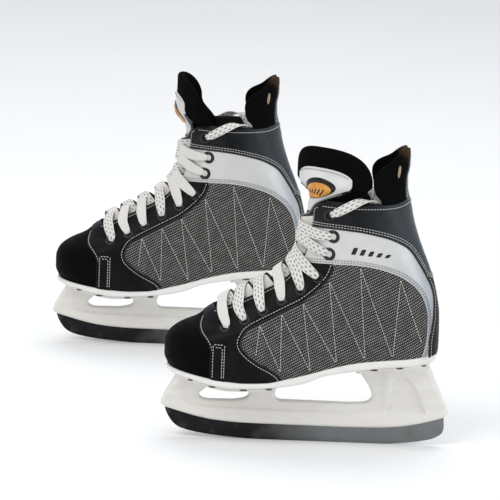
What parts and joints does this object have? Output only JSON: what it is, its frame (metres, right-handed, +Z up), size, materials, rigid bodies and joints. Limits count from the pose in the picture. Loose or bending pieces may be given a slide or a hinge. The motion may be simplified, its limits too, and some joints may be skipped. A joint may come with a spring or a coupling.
{
  "type": "pair of hockey skates",
  "caption": "Pair of lace-up hockey skates: padded boots with leather and fabric panels, folding tongues and heel guards, on plastic holders with steel blades.",
  "frame": {"origin": "on the ice under the centre of the pair's bounding box", "axes": "+X toward the heels, +Y from the left skate to the right skate, +Z up"},
  "size_m": [0.4168, 0.5472, 0.304],
  "materials": {
    "steel": "ground and polished runner",
    "holder_white": "off-white moulded plastic, satin",
    "sole_white": "white moulded plastic, satin",
    "black_moulding": "black moulded toe cap, fine grain",
    "black_leather": "black synthetic leather, semi-gloss",
    "grey_weave": "grey twill with black and white threads",
    "silver_leather": "silvery white synthetic leather, satin",
    "black_felt": "black felt",
    "lining": "black brushed lining",
    "white_vinyl": "white stitched vinyl",
    "orange_rubber": "orange moulded badge with a black ring",
    "lace_cotton": "off-white flat braid with black tracer threads"
  },
  "bodies": {
    "left_skate": {"left_blade": "steel", "left_holder": "holder_white", "left_outsole": "sole_white", "left_footbed": "lining", "left_toe_cap": "black_moulding", "left_toe_strap_lateral": "black_leather", "left_toe_strap_medial": "black_leather", "left_vamp": "black_leather", "left_quarter_lateral": "grey_weave", "left_quarter_medial": "grey_weave", "left_ankle_band_lateral": "silver_leather", "left_ankle_band_medial": "silver_leather", "left_cuff": "black_leather", "left_backstay": "black_leather", "left_liner": "lining", "left_tongue_base": "black_felt", "left_lace": "lace_cotton"},
    "left_tongue": {"left_tongue_top": "black_felt", "left_tongue_panel": "white_vinyl", "left_tongue_badge": "orange_rubber"},
    "left_guard": {"left_tendon_guard": "black_felt"},
    "right_skate": {"right_blade": "steel", "right_holder": "holder_white", "right_outsole": "sole_white", "right_footbed": "lining", "right_toe_cap": "black_moulding", "right_toe_strap_lateral": "black_leather", "right_toe_strap_medial": "black_leather", "right_vamp": "black_leather", "right_quarter_lateral": "grey_weave", "right_quarter_medial": "grey_weave", "right_ankle_band_lateral": "silver_leather", "right_ankle_band_medial": "silver_leather", "right_cuff": "black_leather", "right_backstay": "black_leather", "right_liner": "lining", "right_tongue_base": "black_felt", "right_lace": "lace_cotton"},
    "right_tongue": {"right_tongue_top": "black_felt", "right_tongue_panel": "white_vinyl", "right_tongue_badge": "orange_rubber"},
    "right_guard": {"right_tendon_guard": "black_felt"}
  },
  "joints": [
    {"name": "pair_spread", "type": "slide", "parent": "left_skate", "child": "right_skate", "axis": [0, 1, 0], "range_m": [-0.3, 0.1]},
    {"name": "left_tongue_fold", "type": "hinge", "parent": "left_skate", "child": "left_tongue", "pos_m": [0.07137, -0.24921, 0.25], "axis": [0.766, -0.6428, 0], "range_deg": [0, 70]},
    {"name": "right_tongue_fold", "type": "hinge", "parent": "right_skate", "child": "right_tongue", "pos_m": [-0.08063, 0.22479, 0.25], "axis": [0, -1, 0], "range_deg": [0, 70]},
    {"name": "left_guard_flex", "type": "hinge", "parent": "left_skate", "child": "left_guard", "pos_m": [0.16057, -0.22521, 0.2522], "axis": [0, 1, 0], "range_deg": [0, 25]},
    {"name": "right_guard_flex", "type": "hinge", "parent": "right_skate", "child": "right_guard", "pos_m": [0.03057, 0.22479, 0.2522], "axis": [0, 1, 0], "range_deg": [0, 25]}
  ]
}
